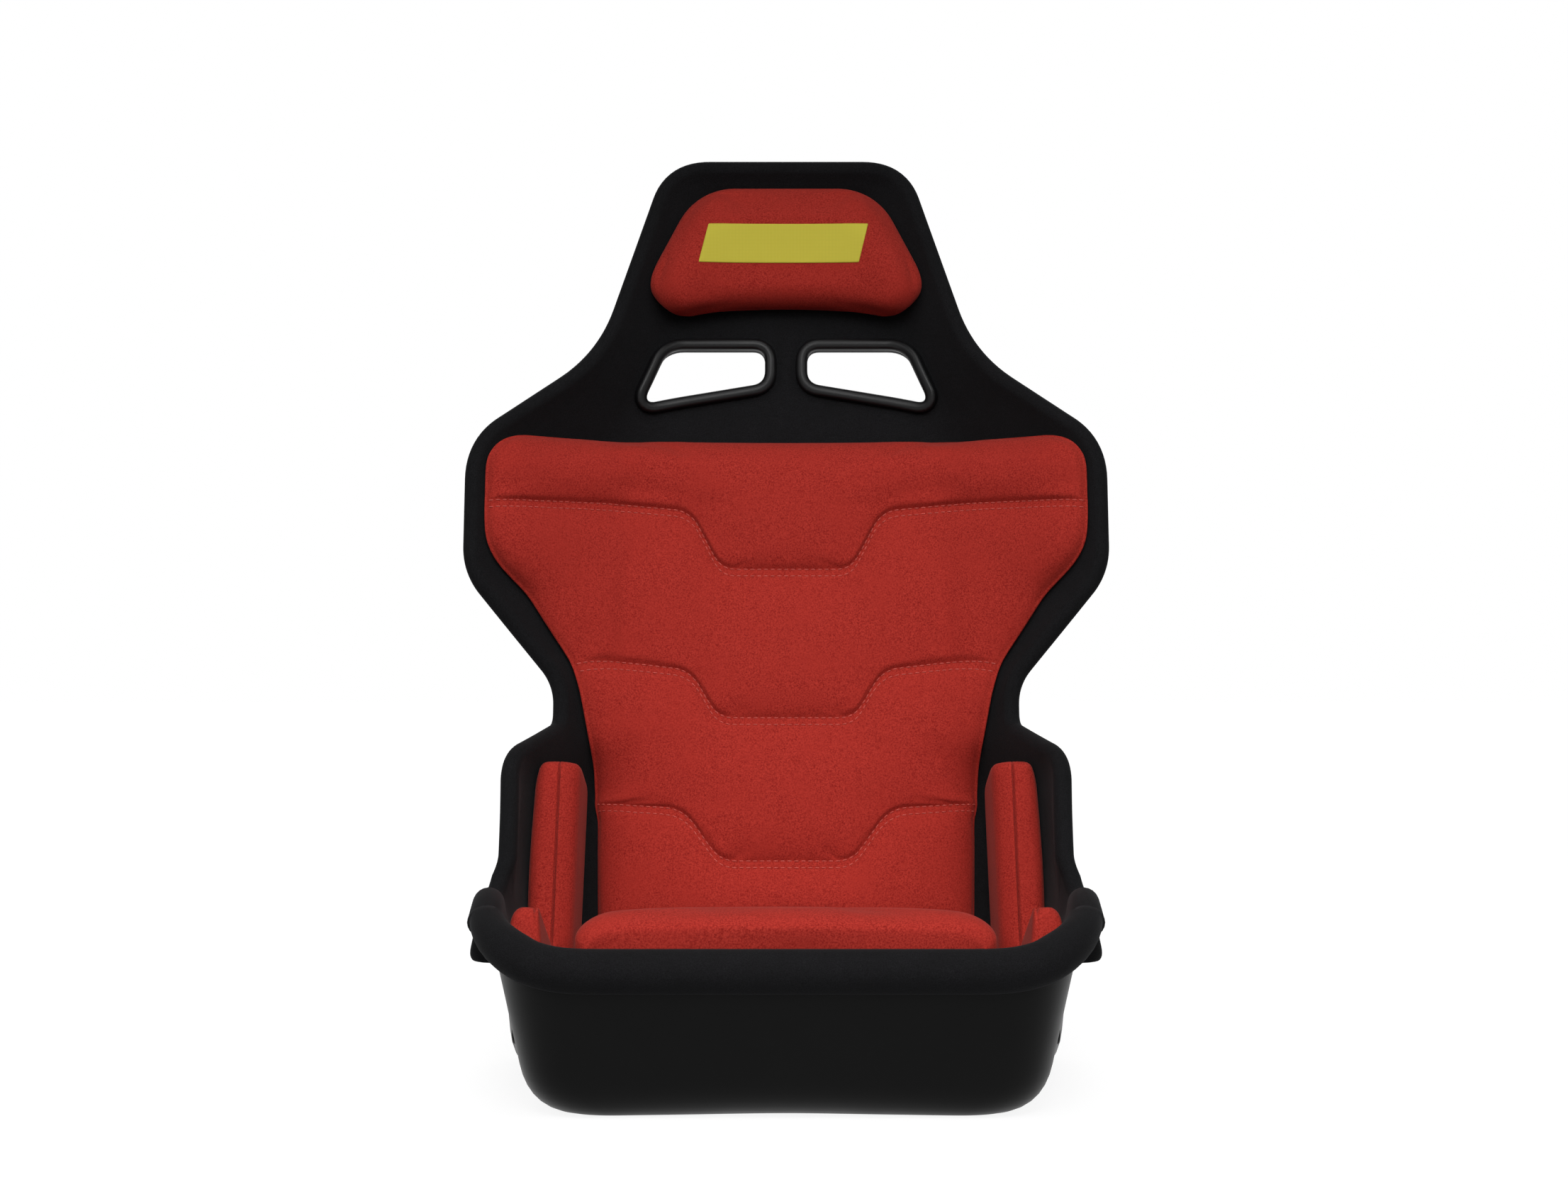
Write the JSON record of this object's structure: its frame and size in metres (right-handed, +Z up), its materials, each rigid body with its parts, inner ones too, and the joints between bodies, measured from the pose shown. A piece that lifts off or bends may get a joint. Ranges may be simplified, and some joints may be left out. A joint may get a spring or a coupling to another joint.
{
  "type": "racing seat",
  "caption": "Fixed-back bucket seat: black velour-lined moulded tub with shoulder wings, belt slots and red removable head, back, seat and side pads.",
  "frame": {"origin": "under the middle of the tub's flat base, on the surface it stands on", "axes": "+Z up, the sitter faces -Y, +X is the sitter's left"},
  "size_m": [0.5968, 0.6334, 0.8425],
  "materials": {
    "velour_black": "short-pile velour over foam",
    "suede_red": "brushed microsuede over foam",
    "gelcoat_black": "satin gel coat over glass-fibre laminate",
    "plastic_black": "satin moulded plastic",
    "zinc_steel": "zinc plated",
    "hook_tape": "hook tape"
  },
  "bodies": {
    "tub": {"shell": "gelcoat_black", "seat_cover": "velour_black", "back_cover": "velour_black", "front_roll": "velour_black", "upper_roll": "velour_black", "cover_hem_left": "velour_black", "cover_hem_right": "velour_black", "harness_bezel_front_left": "plastic_black", "harness_bezel_front_right": "plastic_black", "harness_bezel_rear_left": "plastic_black", "harness_bezel_rear_right": "plastic_black", "crotch_grommet": "plastic_black", "mount_insert_front_left": "zinc_steel", "mount_insert_front_right": "zinc_steel", "mount_insert_rear_left": "zinc_steel", "mount_insert_rear_right": "zinc_steel"},
    "head_pad": {"head_pad": "suede_red", "head_hook_strip": "hook_tape"},
    "back_cushion": {"back_cushion": "suede_red", "back_hook_strip_left": "hook_tape", "back_hook_strip_right": "hook_tape"},
    "seat_cushion": {"seat_cushion": "suede_red", "seat_hook_strip_left": "hook_tape", "seat_hook_strip_right": "hook_tape"},
    "side_pad_left": {"side_pad_left": "suede_red"},
    "side_pad_right": {"side_pad_right": "suede_red"}
  },
  "joints": [
    {"name": "head_pad_pull", "type": "slide", "parent": "tub", "child": "head_pad", "axis": [0, -0.9724, 0.2334], "range_m": [0, 0.06]},
    {"name": "back_cushion_pull", "type": "slide", "parent": "tub", "child": "back_cushion", "axis": [0, -0.9724, 0.2334], "range_m": [0, 0.02]},
    {"name": "seat_cushion_lift", "type": "slide", "parent": "tub", "child": "seat_cushion", "axis": [0, 0, 1], "range_m": [0, 0.15]},
    {"name": "side_pad_left_lift", "type": "slide", "parent": "tub", "child": "side_pad_left", "axis": [-0.11, -0.82, 0.5617], "range_m": [0, 0.04]},
    {"name": "side_pad_right_lift", "type": "slide", "parent": "tub", "child": "side_pad_right", "axis": [0.11, -0.82, 0.5617], "range_m": [0, 0.04]}
  ]
}
